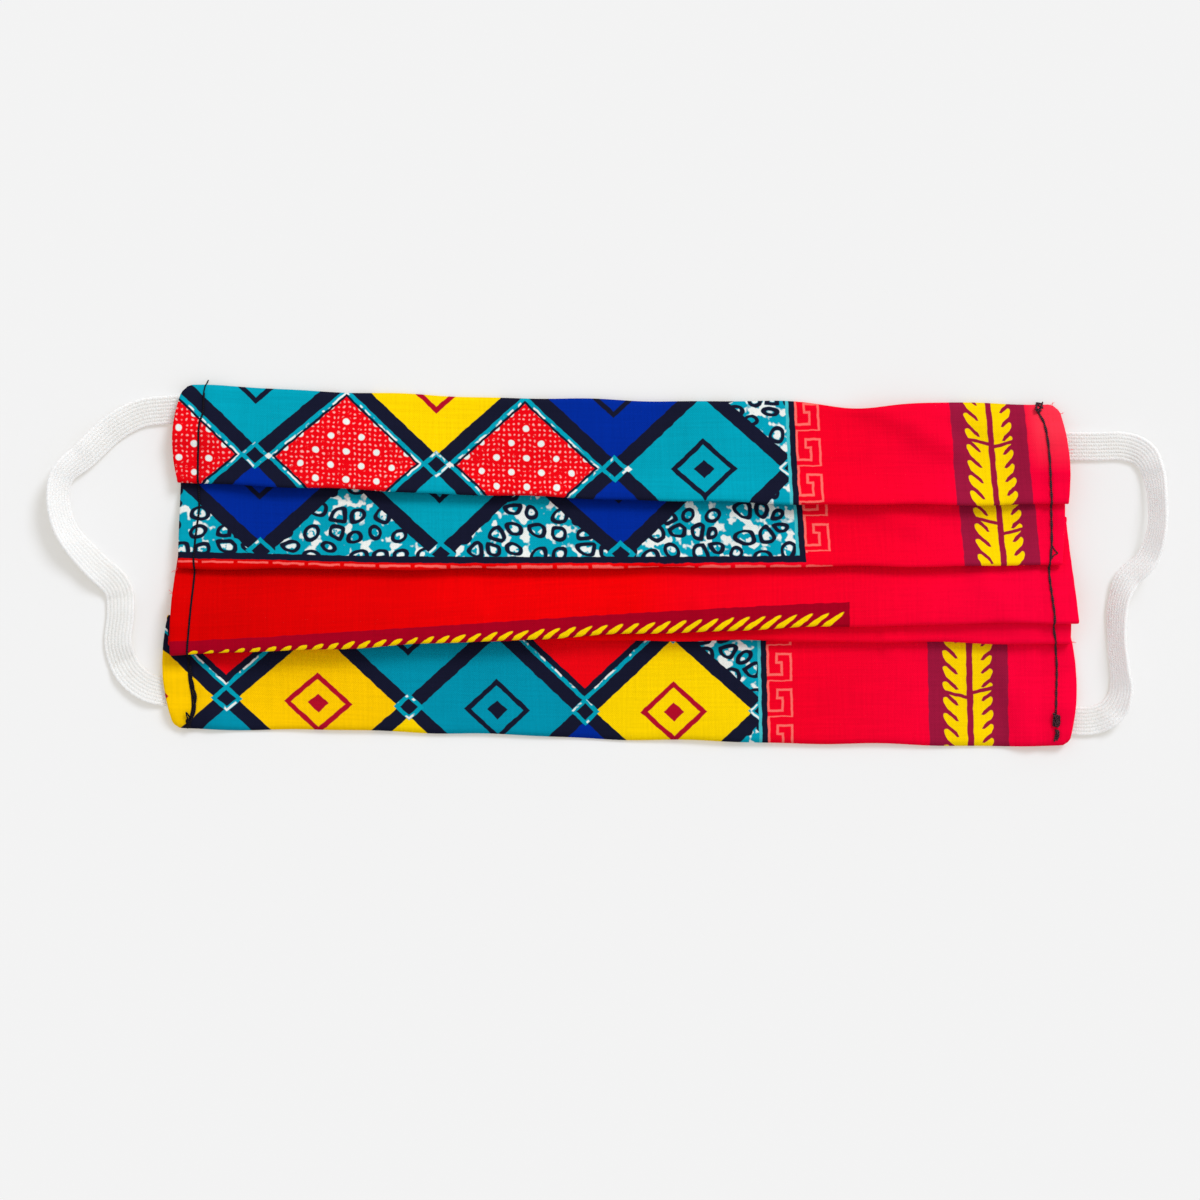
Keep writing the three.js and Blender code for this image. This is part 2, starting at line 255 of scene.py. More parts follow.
# The lattice's cells, row by row and four across: a colour, and a kind that is 0 for a solid cell, 0.3 for
# pebbles, 0.6 for a plain outlined cell and 1 for a dotted outlined one
CELLS_ACROSS = 4
CELL_ROWS = (
    ((TEAL, 0), (YELLOW, 0), (BLUE, 0), (TEAL, 0.3)),
    ((RED, 1), (RED, 1), (RED, 1), (TEAL, 0)),
    ((BLUE, 0), (TEAL, 0), (BLUE, 0), (TEAL, 0.3)),
    ((TEAL, 0.3), (TEAL, 0.3), (TEAL, 0.3), (TEAL, 0.3)),
    ((RED, 0.6), (DEEP_TEAL, 0), (RED, 0.6), (TEAL, 0.3)),
    ((ORANGE_YELLOW, 0), (ORANGE_YELLOW, 0), (DEEP_TEAL, 0), (YELLOW, 0)),
    ((DEEP_TEAL, 0), (YELLOW, 0), (BLUE, 0), (TEAL, 0.3)),
)

# Soft creases that stand up in the cloth: both ends, width and height
CREASES = (
    (57, 36.5, 75, 27, 3, 1.6), (70, 34, 84, 31, 3, 0.8), (61, 12, 73, 6, 3, 0.7), (-60, 13, -52, 4, 3, 0.4),
    (62.1, -13.5, 62.5, -20, 0.9, 0.45), (64.7, -14, 64.2, -19.5, 0.9, 0.4), (88, -23, 91.5, -35, 2.4, 0.6),
    (84, -4, 90, -12, 3, 0.5), (20, -8, 23, -15, 2.2, 0.35), (-30, -6, -27, -13, 2.4, 0.3),
)

# The threads' routes over the cloth, and where the cloth's own threads are frayed, with their heading
LEFT_SEAM = (
    (-89.7, 38.4), (-89.9, 33.8), (-90.6, 31.6), (-90.9, 26), (-91, 18.2), (-90.8, 12.4), (-91.3, 8),
    (-91.9, 1.8), (-91.8, -1.1), (-92.7, -13.1), (-93.2, -19.8), (-93, -25.1), (-92.4, -29), (-92.3, -31.8),
    (-93.1, -35),
)
LEFT_STRAND = ((-92.9, -22.2), (-92.4, -26), (-91.7, -29.2), (-91.9, -32.2), (-92.7, -34.6), (-93.7, -36.3))
LEFT_TAIL = ((-89.9, 34), (-89.8, 38), (-89.3, 40.4), (-88.9, 41.3))
RIGHT_SEAM = (
    (95.7, 34.2), (97, 31.6), (97.8, 27.1), (98.1, 23.1), (98.3, 18.2), (98.5, 13.1), (98.6, 5.1),
    (98.1, -1.3), (98.7, -7.8), (99.1, -11.3), (99.1, -14.2), (99.6, -17.3), (100, -23.1), (99.8, -29.1),
    (99.7, -33),
)
RIGHT_SNAG = ((98.5, 4.6), (99.4, 3.1), (99.9, 2.6), (99.1, 2.2), (98.4, 1.2))
FRAYS = (
    (101, 35.6, 30), (102.5, 33.6, 0), (103, 25.4, -5), (-97.5, -1.2, 190), (-98.5, -6, 175), (104.5, -17, 0),
)

# The strands' radii and stitches, and the knots of loose loops: middle, size, rise, turns and radius
LEFT_THREAD = 0.23
LEFT_STITCH = 2.6
RIGHT_THREAD = 0.17
RIGHT_STITCH = 3.4
TAIL_THREAD = 0.15
SNAG_THREAD = 0.14
WINDING_PITCH = 5.3
LEFT_KNOTS = (((-93.1, -34.6), (1.1, 3.8), 0.6, 11, 0.17),)
RIGHT_KNOTS = (
    ((96, 35.2), (1.8, 2.2), 1.1, 16, 0.15), ((99.8, -34.6), (1.5, 3.4), 0.8, 22, 0.19),
    ((99.8, -37.9), (1.1, 2.6), 0.6, 14, 0.17),
)


# Curves and shares
def mix(start, end, share):
    return start + (end - start) * share


def smooth(value):
    value = np.clip(value, 0, 1)
    return value * value * (3 - 2 * value)


def row_height(share):
    return PANEL_HEIGHT * (0.5 - share)


def through(stations, across):
    """The smooth curve through evenly spaced stations, at a share of the way across."""
    place = across * (len(stations) - 1)
    first = min(int(place), len(stations) - 2)
    before = stations[max(first - 1, 0)]
    start = stations[first]
    end = stations[first + 1]
    after = stations[min(first + 2, len(stations) - 1)]
    t = place - first
    square = 2 * before - 5 * start + 4 * end - after
    cube = 3 * start - before - 3 * end + after
    return start + ((end - before) * t + (square * t * t + cube * t ** 3)) / 2


def corner_pull(radius, distance):
    """How far a rounded corner draws the edge in, at a distance from the side."""
    reach = max(radius - hypot(distance, CORNER_EASE), 0)
    return radius - sqrt(radius * radius - reach * reach)


# The folded cloth
def fold_wobble(name, across):
    """The small waves along a fold or an edge, in millimetres."""
    phase = 1.7 * list(LINES).index(name)
    return 0.16 * sin(across * 31 + phase) + 0.1 * sin(across * 57 + 2.3 * phase)


def line_height(name, across):
    return row_height(through(LINES[name][0], across)) + fold_wobble(name, across)


def cross_lines(across):
    """The cross lines at a share across, in the cloth's order: height, left stand-out and right stand-out."""
    from_side = PANEL_WIDTH * min(across, 1 - across)
    away = (across - DENT_PLACE) * PANEL_WIDTH / DENT_RUN
    dent = DENT_DEPTH * exp(-away * away)
    top = line_height("top", across) - dent - corner_pull(TOP_CORNER, from_side)
    lines = [(top, *LINES["top"][1:])]
    for name, (depth_left, depth_right, out_left, out_right) in PLEAT_BACKS.items():
        outer = line_height(name, across)
        lines.append((outer, *LINES[name][1:]))
        lines.append((outer + PLEAT_DEPTH * mix(depth_left, depth_right, across), out_left, out_right))
    bottom = line_height("bottom", across) + corner_pull(BOTTOM_CORNER, from_side)
    lines.append((bottom, *LINES["bottom"][1:]))
    return lines


def leg_x(lines, index, across, along):
    """The x of a leg's points, from one of its cross lines to the next."""
    bow_left, bow_right = BAND_BOWS[index // 2] if index % 2 == 0 else (0, 0)
    bulge = 4 * along * (1 - along)
    left = -PANEL_WIDTH * (0.5 + mix(lines[index][1], lines[index + 1][1], along) + bow_left * bulge)
    right = PANEL_WIDTH * (0.5 + mix(lines[index][2], lines[index + 1][2], along) + bow_right * bulge)
    return PANEL_MIDDLE_X + mix(left, right, across)


def cover(y, low, high, run):
    """One from low to high, and less and less over a run beyond them."""
    past = np.maximum(np.maximum(low - y, y - high), 0)
    return smooth(1 - past / run)


def strap_raise(x, y):
    """How far the cloth lies up over the four tucked strap ends."""
    total = 0
    for side, _, top, bottom, _ in LOOPS.values():
        inward = np.maximum((PANEL_MIDDLE_X + side * PANEL_WIDTH / 2 - x) * side, 0)
        over_end = cover(inward, 0, TUCK_END, STRAP_SETTLE_RUN)
        for end in (top, bottom):
            low = row_height(end) - STRAP_WIDTH / 2
            high = low + STRAP_WIDTH + STRAP_GAP
            total = total + over_end * cover(y, low - STRAP_GAP, high, STRAP_SETTLE_RUN)
    return total * (STRAP_THICKNESS + STRAP_GAP)


def leg_pitch(index, across):
    """The height that one leg adds to all that lies over it. It sways along the mask, as soft folds do."""
    sway = sin(across * (9 + 2.3 * index) + 2.1 * index)
    return CLOTH_PITCH + PITCH_SWAY * (1 + sway)


def lip_lift(lines, index, across, x, y):
    """How far the fold edges stand off the cloth below. Each one lifts its own layers and all over them."""
    inward = np.maximum(PANEL_WIDTH / 2 - abs(x - PANEL_MIDDLE_X), 0)
    total = 0
    for leg in range(index + 1 - index % 2, len(lines) - 1, 2):
        away = (y - lines[leg][0]) / LIP_RUN
        sway = 1 + LIP_SWAY * sin(across * (7 + 2 * leg) + leg)
        total = total + LIP_LIFTS[leg // 2] * sway * np.exp(-away * away)
    return total * smooth((inward - LIP_INSET) / LIP_FADE)


def seam_valley(inward):
    """The cloth beside the stitch line stands up a little from it."""
    from_seam = (inward - SEAM_INSET - 1) / VALLEY_WIDTH
    fade = smooth(1 - (inward - SEAM_INSET - 1) / VALLEY_FADE)
    return VALLEY_RISE * (1 - np.exp(-from_seam * from_seam)) * fade


def crease(x, y, x1, y1, x2, y2, width, height):
    """A soft ridge along a line from one point to another."""
    run = hypot(x2 - x1, y2 - y1)
    along = ((x - x1) * (x2 - x1) + (y - y1) * (y2 - y1)) / run
    aside = ((x - x1) * (y2 - y1) - (y - y1) * (x2 - x1)) / run
    past = np.maximum(np.maximum(-along, along - run), 0)
    return height * np.exp(-((aside / width) ** 2) - (past / (1.5 * width)) ** 2)


def ripple(x, y):
    """Soft waves that all layers share, and puckers beside the two seams."""
    waves = sum(rise * np.sin(x / run + y / fall + phase) for rise, run, fall, phase in WAVES)
    left = x - PANEL_MIDDLE_X + PANEL_WIDTH / 2
    right = PANEL_MIDDLE_X + PANEL_WIDTH / 2 - x
    inward = np.maximum(np.minimum(left, right), 0)
    beat = np.sin(y * 1.35 + 1.4 * np.sin(y * 0.31))
    pucker = PUCKER_RISE * (1 + beat) * np.exp(-inward / PUCKER_RUN)
    creases = sum(crease(x, y, *shape) for shape in CREASES)
    return (WAVE_BASE + waves) * smooth(inward / WAVE_FADE) + pucker + seam_valley(inward) + creases


def leg_height(lines, index, across, x, y):
    """The height of a leg's middle surface. Every leg further along the cloth lies under it."""
    z = CLOTH_WALL / 2 + strap_raise(x, y) + ripple(x, y) + lip_lift(lines, index, across, x, y)
    for under in range(index + 1, len(lines) - 1):
        a = lines[under][0]
        b = lines[under + 1][0]
        z = z + cover(y, min(a, b), max(a, b), SETTLE_RUN) * leg_pitch(under, across)
    return z


def print_place(band, across, x, y):
    """The place on the flat printed cloth of a point of a band that shows."""
    stations, columns, lean, down = BAND_PRINTS[band]
    below = row_height(through(stations, across)) - y
    shift = mix(*lean, across * across) * below
    return x - through(columns, across) - shift, down + below


def return_place(lines, index, across, y):
    """The place on the print of a point of a hidden return, whose rows go on from the band above it."""
    fold = lines[index][0]
    u, v = print_place(index // 2, across, leg_x(lines, index, across, 0.0), fold)
    return u, v + y - fold


def turn_place(lines, index, across, x, y, angle, reach):
    """The place on the print of a point of a turn, in a fold that shows or at the back of a pleat."""
    band = index // 2
    if index % 2 == 0:
        u, v = print_place(band, across, x, lines[index + 1][0])
        return u, v + (angle - pi / 2) * reach
    if angle < pi / 2:
        return return_place(lines, index, across, y)
    return print_place(band + 1, across, x, y)


def turn_reach(lines, line, across):
    """How far the turn at a cross line bulges past the legs that it joins. The open edges have none."""
    return leg_pitch(line, across) / 2 * TURN_REACH if 0 < line < len(lines) - 1 else 0


def leg_ends(lines, index, across):
    """The heights between which a leg runs, from turn to turn."""
    insets = []
    for line in (index, index + 1):
        reach = turn_reach(lines, line, across)
        insets.append(reach + TURN_THIN * CLOTH_WALL / 2 if reach else 0)
    direction = -1 if index % 2 == 0 else 1
    return lines[index][0] + direction * insets[0], lines[index + 1][0] - direction * insets[1]


def leg_rows(lines, index, across):
    """The rows of a leg between its turns: point, place on the print and share of the wall's thickness."""
    is_band = index % 2 == 0
    along = np.linspace(0, 1, (BAND_ROWS if is_band else RETURN_ROWS) + 1)
    y = mix(*leg_ends(lines, index, across), along)
    x = leg_x(lines, index, across, along)
    z = leg_height(lines, index, across, x, y)
    if is_band:
        places = [print_place(index // 2, across, px, py) for px, py in zip(x, y)]
    else:
        places = [return_place(lines, index, across, py) for py in y]
    return [(point, place, 1) for point, place in zip(zip(x, y, z), places)]


def turn_rows(lines, index, across):
    """The rows of the turn after a leg. The wall is thinner there, so that the folds are sharp."""
    direction = -1 if index % 2 == 0 else 1
    end = leg_ends(lines, index, across)[1]
    reach = turn_reach(lines, index + 1, across)
    x = float(leg_x(lines, index, across, 1.0))
    upper = float(leg_height(lines, index, across, x, end))
    lower = float(leg_height(lines, index + 1, across, x, end))
    further = float(leg_height(lines, index, across, x, end - direction * reach))
    slope = (upper - further) / reach
    rows = []
    for step in range(1, TURN_STEPS):
        angle = pi * step / TURN_STEPS
        outward = reach * sin(angle)
        y = end + direction * outward
        z = (upper + lower) / 2 + (upper - lower) / 2 * cos(angle) + slope * outward
        place = turn_place(lines, index, across, x, y, angle, reach)
        rows.append(((x, y, z), place, mix(1, TURN_THIN, sin(angle) ** 0.5)))
    return rows


def cloth_section(across):
    """One section of the cloth, from the top edge to the bottom: its points, their places on the print and
    each one's share of the wall's thickness."""
    lines = cross_lines(across)
    legs = len(lines) - 1
    rows = []
    for index in range(legs):
        rows += leg_rows(lines, index, across)
        if index < legs - 1:
            rows += turn_rows(lines, index, across)
    return [list(part) for part in zip(*rows)]


def rim_share(distance):
    """How much of the cloth's thickness is left beside its rounded edge."""
    reach = max(1 - distance / RIM_RADIUS, 0)
    return max(sqrt(1 - reach * reach), RIM_THINNEST)


def column_shares():
    """The shares across of the panel's sections: close together at the rounded sides."""
    inner_width = PANEL_WIDTH - 2 * EDGE_COLUMNS[-1]
    count = round(inner_width / COLUMN_STEP)
    middle = [EDGE_COLUMNS[-1] + inner_width * step / count for step in range(1, count)]
    far_edge = [PANEL_WIDTH - distance for distance in reversed(EDGE_COLUMNS)]
    return [distance / PANEL_WIDTH for distance in (*EDGE_COLUMNS, *middle, *far_edge)]


def grid_normals(grid):
    """The directions in which the upper face looks."""
    across = np.gradient(grid, axis=0)
    along = np.gradient(grid, axis=1)
    normals = np.cross(along, across)
    return normals / np.linalg.norm(normals, axis=2, keepdims=True)


def finish_mesh(mesh, uv_name, places):
    """Smooth shading, and a UV map of each point's place on the surface, given in millimetres."""
    mesh.shade_smooth()
    points = np.empty(len(mesh.loops), dtype=np.int32)
    mesh.loops.foreach_get("vertex_index", points)
    layer = mesh.uv_layers.new(name=uv_name)
    layer.data.foreach_set("uv", (np.array(places)[points] * MM).astype(np.float32).ravel())


def wall_mesh(name, grid, places, thickness):
    """A closed wall around a grid of middle points, with the print's places as its UV map."""
    normals = grid_normals(grid)
    offset = normals * (thickness / 2)[:, :, None]
    columns, rows = grid.shape[:2]
    points = np.concatenate([(grid + offset).reshape(-1, 3), (grid - offset).reshape(-1, 3)]) * MM
    front = np.arange(columns * rows).reshape(columns, rows)
    back = front + columns * rows
    faces = []

    def add_quads(a, b, c, d):
        faces.append(np.stack([a.ravel(), b.ravel(), c.ravel(), d.ravel()], axis=1))

    add_quads(front[:-1, :-1], front[:-1, 1:], front[1:, 1:], front[1:, :-1])
    add_quads(back[:-1, :-1], back[1:, :-1], back[1:, 1:], back[:-1, 1:])
    rim = np.concatenate([front[:-1, 0], front[-1, :-1], front[:0:-1, -1], front[0, :0:-1]])
    following = np.roll(rim, -1)
    add_quads(rim, following, following + columns * rows, rim + columns * rows)
    quads = np.concatenate(faces)
    mesh = bpy.data.meshes.new(name)
    mesh.from_pydata(points.tolist(), [], quads.tolist())
    finish_mesh(mesh, "print", np.concatenate([places.reshape(-1, 2)] * 2))
    return mesh


def add_object(name, data):
    obj = bpy.data.objects.new(name, data)
    bpy.context.scene.collection.objects.link(obj)
    return obj


def make_panel():
    shares = column_shares()
    sections = [cloth_section(across) for across in shares]
    grid, places, walls = (np.array(part) for part in zip(*sections))
    run = np.linalg.norm(np.diff(grid, axis=1), axis=2).cumsum(axis=1)
    run = np.concatenate([np.zeros((len(shares), 1)), run], axis=1)
    thickness = np.empty(run.shape)
    for i, share in enumerate(shares):
        side = rim_share(PANEL_WIDTH * min(share, 1 - share))
        for j in range(run.shape[1]):
            end = rim_share(min(run[i, j], run[i, -1] - run[i, j]))
            thickness[i, j] = CLOTH_WALL * min(side, end, walls[i, j])
    mesh = wall_mesh("panel_cloth", grid, places, thickness)
    return add_object("panel_cloth", mesh)


# Straps
def catmull(points, t):
    """A point on the smooth curve through the points, at t from 0 to their count less one."""
    first = min(int(t), len(points) - 2)
    p1 = points[first]
    p2 = points[first + 1]
    p0 = points[first - 1] if first > 0 else p1 * 2 - p2
    p3 = points[first + 2] if first + 2 < len(points) else p2 * 2 - p1
    knots = [0]
    for a, b in ((p0, p1), (p1, p2), (p2, p3)):
        knots.append(knots[-1] + sqrt((b - a).length))
    s = mix(knots[1], knots[2], t - first)

    def between(a, b, low, high):
        return a * ((high - s) / (high - low)) + b * ((s - low) / (high - low))

    level = [p0, p1, p2, p3]
    for order in (1, 2):
        pairs = enumerate(zip(level, level[1:]))
        level = [between(a, b, knots[first], knots[first + order]) for first, (a, b) in pairs]
    return between(*level, knots[1], knots[2])


def smoothed(stations):
    """The stations with their places evened out. Both ends stay."""
    for _ in range(STRAP_SMOOTHING):
        middles = [
            ((before[0] + here[0] * 2 + after[0]) / 4, *here[1:])
            for before, here, after in zip(stations, stations[1:], stations[2:])
        ]
        stations = [stations[0], *middles, stations[-1]]
    return stations


def strap_stations(side, reach, top, bottom, route):
    """The strap's middle line at even steps: place, bank and lift, with a flat tuck at each end."""
    side_x = PANEL_MIDDLE_X + side * PANEL_WIDTH / 2
    top_y = row_height(top)
    bottom_y = row_height(bottom)
    rows = [(0, 0, 0, 0), *route, (0, 1, 0, 0)]
    places = [
        Vector((side_x + side * reach * out, mix(top_y, bottom_y, down))) for out, down, _, _ in rows
    ]
    tuck_steps = round(TUCK_END / STRAP_STEP)
    tuck = [side * TUCK_END * step / tuck_steps for step in range(tuck_steps, 0, -1)]
    stations = [(Vector((side_x - inward, top_y)), 0, 0) for inward in tuck]
    for first in range(len(rows) - 1):
        steps = max(round((places[first + 1] - places[first]).length / STRAP_STEP), 1)
        for step in range(steps):
            share = step / steps
            eased = float(smooth(share))
            bank = radians(mix(rows[first][2], rows[first + 1][2], eased))
            lift = STRAP_LIFT * mix(rows[first][3], rows[first + 1][3], eased)
            stations.append((catmull(places, first + share), bank, lift))
    stations.append((places[-1], 0, 0))
    stations += [(Vector((side_x - inward, bottom_y)), 0, 0) for inward in reversed(tuck)]
    return smoothed(stations)


def strap_outline():
    """The elastic's cross-section: rounded ribs on both faces, as (across, up, rib number)."""
    points = []
    steps = RIB_COUNT * RIB_STEPS
    for step in range(steps + 1):
        share = step / steps
        rib = min(int(share * RIB_COUNT), RIB_COUNT - 1)
        hump = abs(sin(share * RIB_COUNT * pi)) ** 0.6
        edge = 1 if 0 < step < steps else EDGE_THIN
        up = (STRAP_THICKNESS / 2 - GROOVE_DEPTH * (1 - hump)) * edge
        points.append(((share - 0.5) * STRAP_WIDTH, up, rib))
    return points + [(across, -up, rib) for across, up, rib in reversed(points)]


def strap_frame(stations, index, side):
    """The middle of the strap's section at a station, and the section's two axes, across and up."""
    place, bank, lift = stations[index]
    before = stations[max(index - 1, 0)][0]
    after = stations[min(index + 1, len(stations) - 1)][0]
    heading = (after - before).normalized()
    tilt = bank * side
    flat_side = Vector((-heading.y, heading.x, 0))
    across_axis = flat_side * cos(tilt) + Vector((0, 0, sin(tilt)))
    up_axis = Vector((heading.x, heading.y, 0)).cross(across_axis)
    half_height = (abs(sin(tilt)) * STRAP_WIDTH + cos(tilt) * STRAP_THICKNESS) / 2
    middle = Vector((place.x, place.y, half_height + lift + STRAP_CLEARANCE))
    return middle, across_axis, up_axis


def tube_faces(rings, size):
    """The faces around a row of rings, with a cap at both ends."""
    faces = []
    for ring in range(rings - 1):
        for corner in range(size):
            a = ring * size + corner
            b = ring * size + (corner + 1) % size
            faces.append((a, a + size, b + size, b))
    faces.append(tuple(range(size)))
    faces.append(tuple(reversed(range((rings - 1) * size, rings * size))))
    return faces


def make_strap(name):
    side, reach, top, bottom, route = LOOPS[name]
    stations = strap_stations(side, reach, top, bottom, route)
    outline = strap_outline()
    points = []
    places = []
    run = 0
    for index, (place, _, _) in enumerate(stations):
        run += (place - stations[max(index - 1, 0)][0]).length
        middle, across_axis, up_axis = strap_frame(stations, index, side)
        wave = run * 2 * pi / KNIT_PITCH
        spread = 1 + KNIT_SPREAD * sin(wave)
        for across, up, rib in outline:
            knit = KNIT_RISE * sin(wave + rib * pi)
            points.append(middle + across_axis * across * spread + up_axis * up * (KNIT_THINNEST + knit))
            places.append((across + STRAP_WIDTH / 2, run))
    mesh = bpy.data.meshes.new(name + "_elastic")
    mesh.from_pydata([point * MM for point in points], [], tube_faces(len(stations), len(outline)))
    finish_mesh(mesh, "ribs", places)
    return add_object(name + "_elastic", mesh)


# Threads
class Strands:
    """Round strands gathered into one mesh."""

    def __init__(self):
        self.points = []
        self.places = []
        self.faces = []

    def add(self, path, radius, sides=7):
        run = 0
        start = len(self.points)
        for index, point in enumerate(path):
            before = path[max(index - 1, 0)]
            after = path[min(index + 1, len(path) - 1)]
            heading = (after - before).normalized()
            side = heading.cross(Vector((0.13, 0.21, 1))).normalized()
            up = side.cross(heading)
            run += (point - before).length
            end = 0.4 if index in (0, len(path) - 1) else 1
            for corner in range(sides):
                angle = 2 * pi * corner / sides
                spoke = side * cos(angle) + up * sin(angle)
                self.points.append((point + spoke * radius * end) * MM)
                self.places.append((corner / sides, run))
        for first, *others in tube_faces(len(path), sides):
            self.faces.append(tuple(start + corner for corner in (first, *reversed(others))))

    def lay(self, cloth, route, radius, **winding):
        self.add(laid_strand(cloth, route, radius, **winding), radius)

    def tie(self, cloth, draw, knots):
        for middle, size, rise, turns, radius in knots:
            self.add(tangle(cloth, draw, middle, size, rise, turns, radius), radius)

    def build(self, name, material):
        mesh = bpy.data.meshes.new(name)
        mesh.from_pydata(self.points, [], self.faces)
        finish_mesh(mesh, "twist", self.places)
        mesh.materials.append(material)
        obj = add_object(name, mesh)
        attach(obj, "root")


def cloth_top(cloth, x, y):
    """The height of the cloth's top face, or of the table where there is no cloth."""
    hit = cloth.ray_cast(Vector((x, y, 50)) * MM, Vector((0, 0, -1)))[0]
    return hit.z / MM if hit else 0


def dense(points, step=0.25):
    """Even points on the smooth curve through a few."""
    path = []
    for first in range(len(points) - 1):
        count = max(round((points[first + 1] - points[first]).length / step), 1)
        path += [catmull(points, first + share / count) for share in range(count)]
    return path + [points[-1]]


def laid_strand(cloth, route, radius, stitch=0, twist=0, phase=0):
    """A strand that follows a route over the cloth. stitch is the run between two holes that it dips into,
    and twist how far it winds about the route."""
    flat = dense([Vector((x, y)) for x, y in route])
    path = []
    run = 0
    for index, place in enumerate(flat):
        before = flat[max(index - 1, 0)]
        after = flat[min(index + 1, len(flat) - 1)]
        heading = (after - before).normalized()
        run += (place - before).length
        turn = run * 2 * pi / WINDING_PITCH + phase + 1.1 * sin(run / 3.3)
        x = place.x - heading.y * twist * cos(turn)
        y = place.y + heading.x * twist * cos(turn)
        z = cloth_top(cloth, x, y) + radius * 0.7 + twist * (1 + sin(turn))
        if stitch:
            z -= 0.9 * radius * (1 - abs(sin(pi * run / stitch)) ** 0.5)
        path.append(Vector((x, y, max(z, radius * 1.1))))
    for _ in range(2):
        heights = [point.z for point in path]
        for index in range(1, len(path) - 1):
            mean = (heights[index - 1] + heights[index] + heights[index + 1]) / 3
            path[index].z = max(heights[index], mean)
    return path


def tangle(cloth, draw, middle, size, rise, turns, radius):
    """A knot's loose loops around a middle, drawn at random from a seeded generator."""
    points = []
    for _ in range(turns):
        x = middle[0] + draw.uniform(-0.5, 0.5) * size[0]
        y = middle[1] + draw.uniform(-0.5, 0.5) * size[1]
        points.append(Vector((x, y, cloth_top(cloth, x, y) + radius + draw.uniform(0, rise))))
    return dense(points, step=0.15)


def make_threads(cloth):
    draw = random.Random(11)
    left = Strands()
    left.lay(cloth, LEFT_SEAM, LEFT_THREAD, stitch=LEFT_STITCH)
    for phase in (0, pi):
        left.lay(cloth, LEFT_STRAND, LEFT_THREAD, twist=0.18, phase=phase)
    left.lay(cloth, LEFT_TAIL, TAIL_THREAD)
    left.tie(cloth, draw, LEFT_KNOTS)
    material = thread_material("seam_thread_left", THREAD_BLACK, THREAD_GREY)
    left.build("seam_thread_left", material)

    right = Strands()
    for phase in (0, pi):
        right.lay(cloth, RIGHT_SEAM, RIGHT_THREAD, stitch=RIGHT_STITCH, twist=0.12, phase=phase)
    right.lay(cloth, RIGHT_SNAG, SNAG_THREAD)
    right.tie(cloth, draw, RIGHT_KNOTS)
    material = thread_material("seam_thread_right", THREAD_BROWN, THREAD_ROSE)
    right.build("seam_thread_right", material)


def make_frays(cloth, material):
    """Short bare ends of the cloth's own threads, at the panel's corners and sides."""
    draw = random.Random(5)
    frays = Strands()
    for x, y, heading in FRAYS:
        middle = Vector((0, y))
        edge = Vector((x, y))
        while cloth_top(cloth, edge.x, edge.y) == 0:
            edge += (middle - edge).normalized() * 0.1
        for _ in range(2):
            angle = radians(heading + draw.uniform(-35, 35))
            way = Vector((cos(angle), sin(angle)))
            start = edge - way * 0.5 + Vector((0, draw.uniform(-0.4, 0.4)))
            end = edge + way * draw.uniform(0.5, 1.2)
            bend = mix(start, end, 0.6) + Vector((draw.uniform(-0.25, 0.25), draw.uniform(-0.25, 0.25)))
            base = cloth_top(cloth, edge.x, edge.y)
            route = [start.to_3d(), bend.to_3d(), end.to_3d()]
            for point, lift in zip(route, (-0.1, 0.05, -0.15)):
                point.z = max(base + lift, 0.1)
            frays.add(dense(route, step=0.2), radius=0.055, sides=5)
    frays.build("frayed_threads", material)


# Materials
class Field:
    """A number that varies over a surface, in a material's node tree. Arithmetic with it adds Math nodes."""

    def __init__(self, tree, socket):
        self.tree = tree
        self.socket = socket

    def __add__(self, other):
        return calc("ADD", self, other)

    def __sub__(self, other):
        return calc("SUBTRACT", self, other)

    def __rsub__(self, other):
        return calc("SUBTRACT", other, self)

    def __mul__(self, other):
        return calc("MULTIPLY", self, other)

    def above(self, limit, soft=0.14):
        """One where the number is above the limit, with an edge of that softness."""
        return calc("MULTIPLY_ADD", self, 1 / soft, 0.5 - limit / soft, clamp=True)

    def below(self, limit, soft=0.14):
        return calc("MULTIPLY_ADD", self, -1 / soft, 0.5 + limit / soft, clamp=True)

    def within(self, low, high, soft=0.14):
        return self.above(low, soft) * self.below(high, soft)


def set_inputs(node, inputs):
    """Gives each input of a node a constant, or links it to another node's output."""
    for key, value in inputs.items():
        if isinstance(value, bpy.types.NodeSocket):
            node.id_data.links.new(value, node.inputs[key])
        else:
            node.inputs[key].default_value = value


def add_node(tree, kind, inputs, **settings):
    node = tree.nodes.new("ShaderNode" + kind)
    for name, value in settings.items():
        setattr(node, name, value)
    set_inputs(node, inputs)
    return node


def calc(operation, *values, clamp=False):
    """The result of a Math node, as another field."""
    tree = next(value.tree for value in values if isinstance(value, Field))
    inputs = {index: getattr(value, "socket", value) for index, value in enumerate(values)}
    return Field(tree, add_node(tree, "Math", inputs, operation=operation, use_clamp=clamp).outputs[0])


def either(*masks):
    joined = masks[0]
    for mask in masks[1:]:
        joined = calc("MAXIMUM", joined, mask)
    return joined


def length_of(x, y):
    return calc("SQRT", x * x + y * y)


def from_line(value, pitch):
    """The distance to the nearest of evenly spaced lines, one of them at zero."""
    return calc("PINGPONG", value * (1 / pitch), 0.5) * pitch


def paint(under, over, mask):
    """The colour over laid on the colour under where the mask is one."""
    inputs = {0: mask.socket, 6: under, 7: over}
    return add_node(mask.tree, "Mix", inputs, data_type="RGBA").outputs[2]


def combine(u, v):
    return add_node(u.tree, "CombineXYZ", {0: u.socket, 1: v.socket}).outputs[0]


def noise(u, v, scale, detail=2.0):
    inputs = {"Scale": scale, "Detail": detail, "Vector": combine(u, v)}
    return Field(u.tree, add_node(u.tree, "TexNoise", inputs, noise_dimensions="2D").outputs[0])


